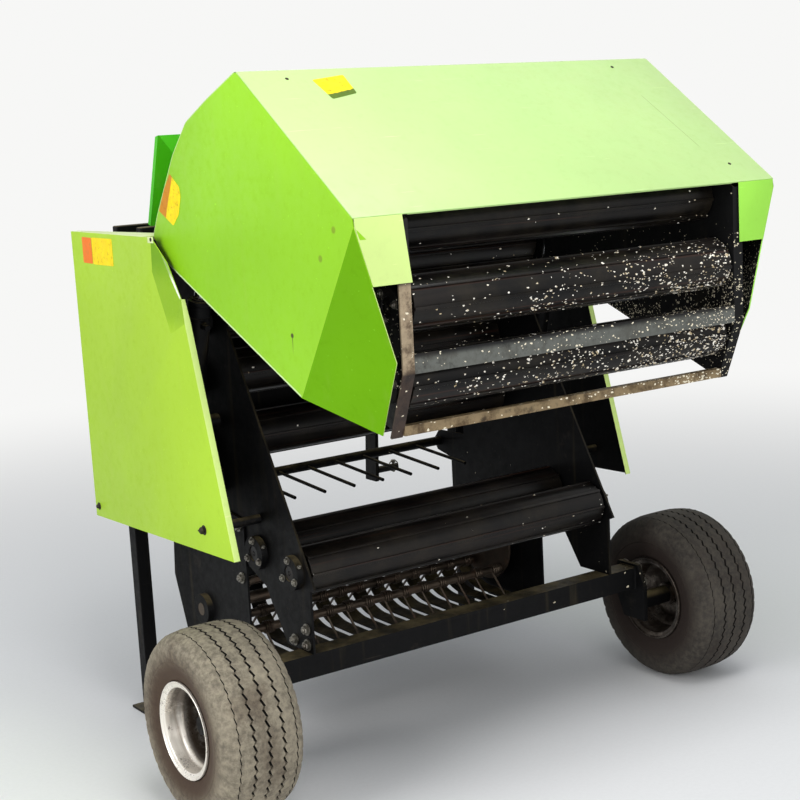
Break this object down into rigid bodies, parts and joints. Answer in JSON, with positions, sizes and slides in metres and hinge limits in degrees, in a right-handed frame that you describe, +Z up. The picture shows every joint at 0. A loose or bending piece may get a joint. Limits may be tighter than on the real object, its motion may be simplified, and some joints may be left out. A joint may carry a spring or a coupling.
{
  "type": "round baler",
  "caption": "Three-point mounted mini round baler with a fixed roller chamber, two wheels, a pickup and its rear tailgate raised.",
  "frame": {"origin": "on the ground, in the middle of the machine's box, with the tailgate raised as it rests", "axes": "+X to the machine's right, +Y forward to the tractor, +Z up; metres"},
  "size_m": [1.719, 1.5111, 1.7585],
  "materials": {
    "bare_steel": "worn",
    "black_paint": "worn gloss",
    "chrome_rod": "polished",
    "gearbox": "painted",
    "green_cover": "gloss",
    "green_paint": "gloss",
    "rim": "satin silver",
    "roller": "worn gloss",
    "tine_steel": "rusty",
    "tyre": "dusty"
  },
  "bodies": {
    "frame": {"side_plate_left": "black_paint", "side_plate_right": "black_paint", "main_frame": "black_paint", "frame_side_left": "black_paint", "frame_side_right": "black_paint", "headstock": "black_paint", "axle_beam": "black_paint", "gearbox": "gearbox", "side_cover_left": "green_cover", "side_cover_right": "green_cover", "twine_box": "green_paint", "front_sheet": "black_paint", "pickup_frame": "black_paint", "stripper_bands": "black_paint"},
    "tailgate": {"gate_plate_left": "black_paint", "gate_plate_right": "black_paint", "gate_frame": "black_paint", "hood": "green_paint", "hood_side_left": "green_paint", "hood_side_right": "green_paint"},
    "twine_lid": {"twine_box_lid": "green_paint"},
    "drive_shaft": {"pto_shaft": "bare_steel"},
    "pickup_reel": {"pickup_reel": "tine_steel"},
    "crop_guard": {"crop_guard": "black_paint"},
    "front_roller_1": {"front_roller_1": "roller"},
    "front_roller_2": {"front_roller_2": "roller"},
    "front_roller_3": {"front_roller_3": "roller"},
    "front_roller_4": {"front_roller_4": "roller"},
    "front_roller_5": {"front_roller_5": "roller"},
    "front_roller_6": {"front_roller_6": "roller"},
    "gate_roller_1": {"gate_roller_1": "roller"},
    "gate_roller_2": {"gate_roller_2": "roller"},
    "gate_roller_3": {"gate_roller_3": "roller"},
    "gate_roller_4": {"gate_roller_4": "roller"},
    "gate_roller_5": {"gate_roller_5": "roller"},
    "gate_roller_6": {"gate_roller_6": "roller"},
    "gate_roller_7": {"gate_roller_7": "roller"},
    "barrel_left": {"cylinder_barrel_left": "black_paint"},
    "rod_left": {"cylinder_rod_left": "chrome_rod"},
    "wheel_left": {"tyre_left": "tyre", "rim_left": "rim"},
    "leg_left": {"parking_leg_left": "black_paint"},
    "barrel_right": {"cylinder_barrel_right": "black_paint"},
    "rod_right": {"cylinder_rod_right": "chrome_rod"},
    "wheel_right": {"tyre_right": "tyre", "rim_right": "rim"},
    "leg_right": {"parking_leg_right": "black_paint"}
  },
  "joints": [
    {"name": "tailgate_hinge", "type": "hinge", "parent": "frame", "child": "tailgate", "pos_m": [0, 0.15515, 1.28], "axis": [1, 0, 0], "range_deg": [0, 38.5]},
    {"name": "front_roller_1_spin", "type": "hinge", "parent": "frame", "child": "front_roller_1", "pos_m": [0, 0.0586, 1.26858], "axis": [1, 0, 0], "continuous": true},
    {"name": "front_roller_2_spin", "type": "hinge", "parent": "frame", "child": "front_roller_2", "pos_m": [0, 0.18454, 1.14802], "axis": [1, 0, 0], "continuous": true},
    {"name": "front_roller_3_spin", "type": "hinge", "parent": "frame", "child": "front_roller_3", "pos_m": [0, 0.24631, 0.98497], "axis": [1, 0, 0], "continuous": true},
    {"name": "front_roller_4_spin", "type": "hinge", "parent": "frame", "child": "front_roller_4", "pos_m": [0, 0.23187, 0.81122], "axis": [1, 0, 0], "continuous": true},
    {"name": "front_roller_5_spin", "type": "hinge", "parent": "frame", "child": "front_roller_5", "pos_m": [0, -0.19298, 0.53794], "axis": [1, 0, 0], "continuous": true},
    {"name": "front_roller_6_spin", "type": "hinge", "parent": "frame", "child": "front_roller_6", "pos_m": [0, -0.01951, 0.55541], "axis": [1, 0, 0], "continuous": true},
    {"name": "gate_roller_1_spin", "type": "hinge", "parent": "tailgate", "child": "gate_roller_1", "pos_m": [0, -0.67099, 1.06424], "axis": [1, 0, 0], "continuous": true},
    {"name": "gate_roller_2_spin", "type": "hinge", "parent": "tailgate", "child": "gate_roller_2", "pos_m": [0, -0.68997, 1.23756], "axis": [1, 0, 0], "continuous": true},
    {"name": "gate_roller_3_spin", "type": "hinge", "parent": "tailgate", "child": "gate_roller_3", "pos_m": [0, -0.63249, 1.40216], "axis": [1, 0, 0], "continuous": true},
    {"name": "gate_roller_4_spin", "type": "hinge", "parent": "tailgate", "child": "gate_roller_4", "pos_m": [0, -0.50974, 1.52598], "axis": [1, 0, 0], "continuous": true},
    {"name": "gate_roller_5_spin", "type": "hinge", "parent": "tailgate", "child": "gate_roller_5", "pos_m": [0, -0.34565, 1.5849], "axis": [1, 0, 0], "continuous": true},
    {"name": "gate_roller_6_spin", "type": "hinge", "parent": "tailgate", "child": "gate_roller_6", "pos_m": [0, -0.17217, 1.56743], "axis": [1, 0, 0], "continuous": true},
    {"name": "gate_roller_7_spin", "type": "hinge", "parent": "tailgate", "child": "gate_roller_7", "pos_m": [0, -0.02312, 1.47698], "axis": [1, 0, 0], "continuous": true},
    {"name": "pickup_reel_spin", "type": "hinge", "parent": "frame", "child": "pickup_reel", "pos_m": [0, 0.28515, 0.34], "axis": [1, 0, 0], "continuous": true},
    {"name": "drive_shaft_spin", "type": "hinge", "parent": "frame", "child": "drive_shaft", "pos_m": [0, 0.71515, 0.83], "axis": [0, 1, 0], "continuous": true},
    {"name": "crop_guard_lift", "type": "hinge", "parent": "frame", "child": "crop_guard", "pos_m": [0, 0.54515, 0.615], "axis": [-1, 0, 0], "range_deg": [0, 25]},
    {"name": "twine_lid_hinge", "type": "hinge", "parent": "frame", "child": "twine_lid", "pos_m": [0, 0.34915, 1.618], "axis": [1, 0, 0], "range_deg": [0, 100]},
    {"name": "barrel_left_tilt", "type": "hinge", "parent": "frame", "child": "barrel_left", "pos_m": [-0.568, 0.15515, 0.88], "axis": [1, 0, 0], "range_deg": [0, 9]},
    {"name": "rod_left_slide", "type": "slide", "parent": "barrel_left", "child": "rod_left", "axis": [0, -0.2789, 0.9603], "range_m": [-0.0929, 0]},
    {"name": "wheel_left_spin", "type": "hinge", "parent": "frame", "child": "wheel_left", "pos_m": [-0.752, -0.24485, 0.235], "axis": [1, 0, 0], "continuous": true},
    {"name": "leg_left_slide", "type": "slide", "parent": "frame", "child": "leg_left", "axis": [0, 0, 1], "range_m": [0, 0.3]},
    {"name": "barrel_right_tilt", "type": "hinge", "parent": "frame", "child": "barrel_right", "pos_m": [0.568, 0.15515, 0.88], "axis": [1, 0, 0], "range_deg": [0, 9]},
    {"name": "rod_right_slide", "type": "slide", "parent": "barrel_right", "child": "rod_right", "axis": [0, -0.2789, 0.9603], "range_m": [-0.0929, 0]},
    {"name": "wheel_right_spin", "type": "hinge", "parent": "frame", "child": "wheel_right", "pos_m": [0.752, -0.24485, 0.235], "axis": [1, 0, 0], "continuous": true},
    {"name": "leg_right_slide", "type": "slide", "parent": "frame", "child": "leg_right", "axis": [0, 0, 1], "range_m": [0, 0.3]}
  ],
  "couplings": [
    {"joint": "front_roller_2_spin", "follows": "front_roller_1_spin", "ratio": 1},
    {"joint": "front_roller_3_spin", "follows": "front_roller_1_spin", "ratio": 1},
    {"joint": "front_roller_4_spin", "follows": "front_roller_1_spin", "ratio": 1},
    {"joint": "front_roller_5_spin", "follows": "front_roller_1_spin", "ratio": 1},
    {"joint": "front_roller_6_spin", "follows": "front_roller_1_spin", "ratio": 1},
    {"joint": "gate_roller_1_spin", "follows": "front_roller_1_spin", "ratio": 1},
    {"joint": "gate_roller_2_spin", "follows": "front_roller_1_spin", "ratio": 1},
    {"joint": "gate_roller_3_spin", "follows": "front_roller_1_spin", "ratio": 1},
    {"joint": "gate_roller_4_spin", "follows": "front_roller_1_spin", "ratio": 1},
    {"joint": "gate_roller_5_spin", "follows": "front_roller_1_spin", "ratio": 1},
    {"joint": "gate_roller_6_spin", "follows": "front_roller_1_spin", "ratio": 1},
    {"joint": "gate_roller_7_spin", "follows": "front_roller_1_spin", "ratio": 1},
    {"joint": "pickup_reel_spin", "follows": "front_roller_1_spin", "ratio": 0.6},
    {"joint": "drive_shaft_spin", "follows": "front_roller_1_spin", "ratio": 3},
    {"joint": "barrel_left_tilt", "follows": "tailgate_hinge", "ratio": 0.2325},
    {"joint": "rod_left_slide", "follows": "tailgate_hinge", "m_per_rad": -0.1375},
    {"joint": "barrel_right_tilt", "follows": "tailgate_hinge", "ratio": 0.2325},
    {"joint": "rod_right_slide", "follows": "tailgate_hinge", "m_per_rad": -0.1375}
  ]
}
